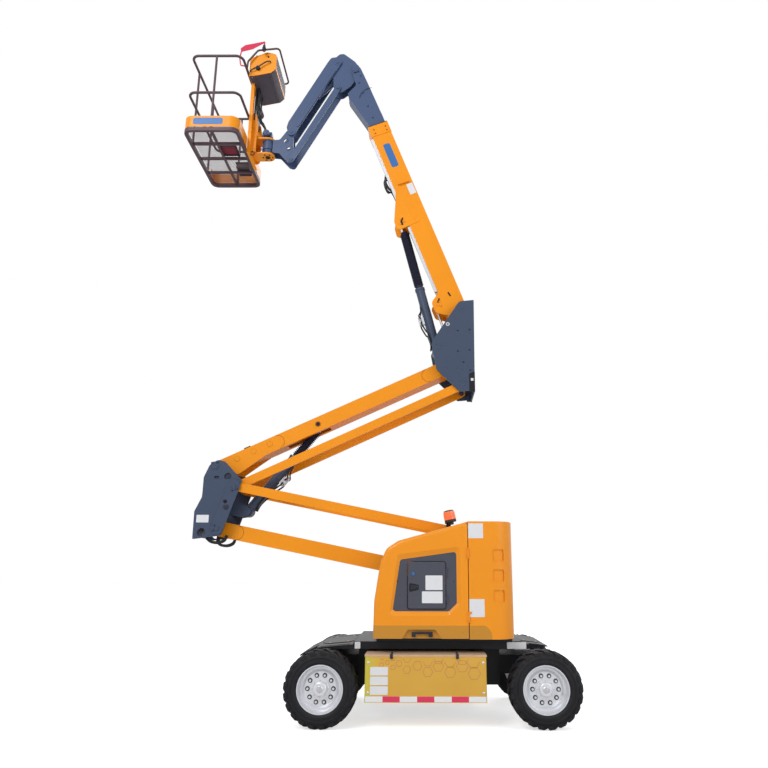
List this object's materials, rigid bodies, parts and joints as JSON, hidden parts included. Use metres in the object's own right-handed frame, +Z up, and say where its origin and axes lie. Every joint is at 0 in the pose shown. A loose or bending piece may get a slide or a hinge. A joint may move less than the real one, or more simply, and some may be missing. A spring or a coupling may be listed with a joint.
{
  "type": "articulating boom lift",
  "caption": "Self-propelled access machine: wheeled chassis, slewing base, folding riser, telescopic boom, jib and railed work platform.",
  "frame": {"origin": "on the floor, under the middle of the machine's box as it stands raised", "axes": "+X towards the counterweight and steering end, +Y to the far side away from the ground controls, +Z up"},
  "size_m": [4.4614, 1.762, 8.2385],
  "materials": {
    "orange_paint": "semi-gloss enamel",
    "slate_paint": "semi-gloss enamel",
    "black_paint": "satin enamel",
    "gold_paint": "gloss enamel with a pattern",
    "rim_paint": "silver enamel",
    "rail_paint": "powder coat",
    "orange_moulding": "gel-coated moulding",
    "door_panel": "textured dark moulding",
    "tyre_rubber": "solid rubber",
    "rod_chrome": "hard chrome",
    "bare_iron": "machined",
    "battery_case": "moulded case",
    "bare_aluminium": "plain block",
    "rest_rubber": "moulded pad",
    "red_paint": "semi-gloss enamel",
    "beacon_lens": "clear tinted lens"
  },
  "bodies": {
    "root": {"chassis_frame": "black_paint", "deck": "black_paint", "near_battery_box": "gold_paint", "far_battery_box": "gold_paint", "drive_axle": "black_paint", "steer_axle": "black_paint", "steer_barrel": "black_paint", "slew_ring": "bare_iron", "battery_packs": "battery_case"},
    "near_steering": {"near_steer_knuckle": "black_paint"},
    "far_steering": {"far_steer_knuckle": "black_paint"},
    "near_drive_wheel": {"near_drive_tyre": "tyre_rubber", "near_drive_rim": "rim_paint"},
    "far_drive_wheel": {"far_drive_tyre": "tyre_rubber", "far_drive_rim": "rim_paint"},
    "near_steer_wheel": {"near_steer_tyre": "tyre_rubber", "near_steer_rim": "rim_paint"},
    "far_steer_wheel": {"far_steer_tyre": "tyre_rubber", "far_steer_rim": "rim_paint"},
    "turntable": {"turntable_base": "black_paint", "tail_cover": "orange_moulding", "counterweight": "bare_iron", "power_pack": "battery_case", "beacon": "beacon_lens"},
    "steer_rod_body": {"steer_rod": "rod_chrome"},
    "near_hood_body": {"near_hood": "orange_moulding", "near_panel": "door_panel"},
    "far_hood_body": {"far_hood": "orange_moulding", "far_panel": "door_panel"},
    "control_door_body": {"control_door": "door_panel"},
    "lower_arm_body": {"lower_arm": "orange_paint"},
    "lower_link_body": {"lower_link": "orange_paint"},
    "knuckle_body": {"knuckle": "slate_paint"},
    "upper_arm_body": {"upper_arm": "orange_paint", "boom_rest": "rest_rubber"},
    "upper_link_body": {"upper_link": "orange_paint"},
    "riser_barrel_body": {"riser_barrel": "slate_paint", "riser_valve": "bare_aluminium"},
    "riser_rod_body": {"riser_rod": "rod_chrome"},
    "turret_body": {"turret": "slate_paint"},
    "boom": {"boom_outer": "orange_paint", "hose_track": "bare_aluminium"},
    "boom_extension": {"boom_inner": "slate_paint"},
    "lift_barrel_body": {"lift_barrel": "slate_paint", "lift_valve": "bare_aluminium"},
    "lift_rod_body": {"lift_rod": "rod_chrome"},
    "level_barrel_body": {"level_barrel": "slate_paint"},
    "level_rod_body": {"level_rod": "rod_chrome"},
    "head_body": {"head": "slate_paint"},
    "jib": {"jib_arm": "slate_paint"},
    "jib_link_body": {"jib_link": "slate_paint"},
    "jib_barrel_body": {"jib_barrel": "slate_paint"},
    "jib_rod_body": {"jib_rod": "rod_chrome"},
    "foot_body": {"jib_foot": "slate_paint"},
    "platform": {"platform_floor": "rail_paint", "toe_board": "orange_paint", "platform_rails": "rail_paint", "platform_bracket": "orange_paint", "console": "orange_moulding", "guard_flag": "red_paint"}
  },
  "joints": [
    {"name": "near_steer", "type": "hinge", "parent": "root", "child": "near_steering", "pos_m": [1.87569, -0.6, 0.355], "axis": [0, 0, 1], "range_deg": [-35, 35]},
    {"name": "near_drive_wheel_spin", "type": "hinge", "parent": "root", "child": "near_drive_wheel", "pos_m": [-0.27831, -0.761, 0.355], "axis": [0, 1, 0], "continuous": true},
    {"name": "near_steer_wheel_spin", "type": "hinge", "parent": "near_steering", "child": "near_steer_wheel", "pos_m": [1.87569, -0.761, 0.355], "axis": [0, 1, 0], "continuous": true},
    {"name": "far_steer", "type": "hinge", "parent": "root", "child": "far_steering", "pos_m": [1.87569, 0.6, 0.355], "axis": [0, 0, 1], "range_deg": [-35, 35]},
    {"name": "far_drive_wheel_spin", "type": "hinge", "parent": "root", "child": "far_drive_wheel", "pos_m": [-0.27831, 0.761, 0.355], "axis": [0, 1, 0], "continuous": true},
    {"name": "far_steer_wheel_spin", "type": "hinge", "parent": "far_steering", "child": "far_steer_wheel", "pos_m": [1.87569, 0.761, 0.355], "axis": [0, 1, 0], "continuous": true},
    {"name": "steer_rod_slide", "type": "slide", "parent": "root", "child": "steer_rod_body", "axis": [0, 1, 0], "range_m": [-0.08, 0.08]},
    {"name": "slew", "type": "hinge", "parent": "root", "child": "turntable", "pos_m": [0.79868, 0, 0.7717], "axis": [0, 0, 1], "range_deg": [-177.5, 177.5]},
    {"name": "near_hood_swing", "type": "hinge", "parent": "turntable", "child": "near_hood_body", "pos_m": [1.15668, -0.809, 1.3], "axis": [0, 0, 1], "range_deg": [0, 80]},
    {"name": "far_hood_swing", "type": "hinge", "parent": "turntable", "child": "far_hood_body", "pos_m": [1.15668, 0.809, 1.3], "axis": [0, 0, -1], "range_deg": [0, 80]},
    {"name": "control_door_swing", "type": "hinge", "parent": "near_hood_body", "child": "control_door_body", "pos_m": [0.94368, -0.785, 1.3], "axis": [0, 0, 1], "range_deg": [0, 110]},
    {"name": "riser_lift", "type": "hinge", "parent": "turntable", "child": "lower_arm_body", "pos_m": [1.22469, 0, 1.336], "axis": [0, 1, 0], "range_deg": [-19.4, 24]},
    {"name": "lower_link_swing", "type": "hinge", "parent": "turntable", "child": "lower_link_body", "pos_m": [1.37868, 0, 1.8], "axis": [0, 1, 0], "range_deg": [-19.7, 24.3]},
    {"name": "knuckle_level", "type": "hinge", "parent": "lower_arm_body", "child": "knuckle_body", "pos_m": [-1.54556, 0, 1.89458], "axis": [0, 1, 0], "range_deg": [-24.3, 19.7]},
    {"name": "upper_arm_swing", "type": "hinge", "parent": "knuckle_body", "child": "upper_arm_body", "pos_m": [-1.61656, 0, 2.58058], "axis": [0, 1, 0], "range_deg": [-29.15, 23.62]},
    {"name": "upper_link_swing", "type": "hinge", "parent": "knuckle_body", "child": "upper_link_body", "pos_m": [-1.39156, 0, 2.35858], "axis": [0, 1, 0], "range_deg": [-29.15, 23.62]},
    {"name": "turret_level", "type": "hinge", "parent": "upper_arm_body", "child": "turret_body", "pos_m": [0.9484, 0, 3.76685], "axis": [0, 1, 0], "range_deg": [-23.62, 29.15]},
    {"name": "riser_cylinder_swing", "type": "hinge", "parent": "knuckle_body", "child": "riser_barrel_body", "pos_m": [-1.28156, 0, 2.10058], "axis": [0, 1, 0], "range_deg": [-24.96, 20.23]},
    {"name": "riser_rod_slide", "type": "slide", "parent": "riser_barrel_body", "child": "riser_rod_body", "axis": [0.6282, 0, 0.778], "range_m": [-0.2238, 0.2763]},
    {"name": "boom_lift", "type": "hinge", "parent": "turret_body", "child": "boom", "pos_m": [1.1574, 0, 4.51285], "axis": [0, 1, 0], "range_deg": [-69, 6]},
    {"name": "lift_cylinder_swing", "type": "hinge", "parent": "turret_body", "child": "lift_barrel_body", "pos_m": [0.8834, 0, 3.99085], "axis": [0, 1, 0], "range_deg": [-60.14, 5.5]},
    {"name": "lift_rod_slide", "type": "slide", "parent": "lift_barrel_body", "child": "lift_rod_body", "axis": [-0.2498, 0, 0.9683], "range_m": [-0.6298, 0.0566]},
    {"name": "level_cylinder_swing", "type": "hinge", "parent": "turret_body", "child": "level_barrel_body", "pos_m": [1.1284, 0, 3.70685], "axis": [0, 1, 0], "range_deg": [-0.38, 1.16]},
    {"name": "level_rod_slide", "type": "slide", "parent": "level_barrel_body", "child": "level_rod_body", "axis": [-0.2805, 0, 0.9599], "range_m": [-0.3149, 0.0292]},
    {"name": "telescope", "type": "slide", "parent": "boom", "child": "boom_extension", "axis": [-0.36, 0, 0.933], "range_m": [0, 2]},
    {"name": "head_level", "type": "hinge", "parent": "boom_extension", "child": "head_body", "pos_m": [-0.20352, 0, 7.96754], "axis": [0, 1, 0], "range_deg": [-6.3, 69.3]},
    {"name": "jib_lift", "type": "hinge", "parent": "head_body", "child": "jib", "pos_m": [-0.44152, 0, 8.08954], "axis": [0, 1, 0], "range_deg": [0, 125]},
    {"name": "jib_link_swing", "type": "hinge", "parent": "head_body", "child": "jib_link_body", "pos_m": [-0.42652, 0, 7.68954], "axis": [0, 1, 0], "range_deg": [0, 125.3]},
    {"name": "foot_level", "type": "hinge", "parent": "jib", "child": "foot_body", "pos_m": [-1.01568, 0, 7.0097], "axis": [0, 1, 0], "range_deg": [-125.3, 0]},
    {"name": "jib_cylinder_swing", "type": "hinge", "parent": "head_body", "child": "jib_barrel_body", "pos_m": [-0.44052, 0, 7.89154], "axis": [0, 1, 0], "range_deg": [0, 118.49]},
    {"name": "jib_rod_slide", "type": "slide", "parent": "jib_barrel_body", "child": "jib_rod_body", "axis": [-0.6848, 0, -0.7287], "range_m": [0, 0.3531]},
    {"name": "platform_rotate", "type": "hinge", "parent": "foot_body", "child": "platform", "pos_m": [-1.32269, 0, 6.8117], "axis": [0, 0, 1], "range_deg": [-80, 80]}
  ],
  "couplings": [
    {"joint": "far_steer", "follows": "near_steer", "ratio": 1},
    {"joint": "steer_rod_slide", "follows": "near_steer", "m_per_rad": -0.1253},
    {"joint": "lower_link_swing", "follows": "riser_lift", "ratio": 1},
    {"joint": "knuckle_level", "follows": "riser_lift", "ratio": -1},
    {"joint": "upper_arm_swing", "follows": "riser_lift", "ratio": -1.202},
    {"joint": "upper_link_swing", "follows": "riser_lift", "ratio": -1.202},
    {"joint": "turret_level", "follows": "riser_lift", "ratio": 1.202},
    {"joint": "riser_cylinder_swing", "follows": "riser_lift", "ratio": -1.0275},
    {"joint": "riser_rod_slide", "follows": "riser_lift", "m_per_rad": 0.65494},
    {"joint": "lift_cylinder_swing", "follows": "boom_lift", "ratio": 0.86721},
    {"joint": "lift_rod_slide", "follows": "boom_lift", "m_per_rad": 0.52129},
    {"joint": "level_cylinder_swing", "follows": "boom_lift", "ratio": -0.012528},
    {"joint": "level_rod_slide", "follows": "boom_lift", "m_per_rad": 0.25981},
    {"joint": "head_level", "follows": "boom_lift", "ratio": -1},
    {"joint": "jib_link_swing", "follows": "jib_lift", "ratio": 1},
    {"joint": "foot_level", "follows": "jib_lift", "ratio": -1},
    {"joint": "jib_cylinder_swing", "follows": "jib_lift", "ratio": 0.94549},
    {"joint": "jib_rod_slide", "follows": "jib_lift", "m_per_rad": 0.16091}
  ]
}
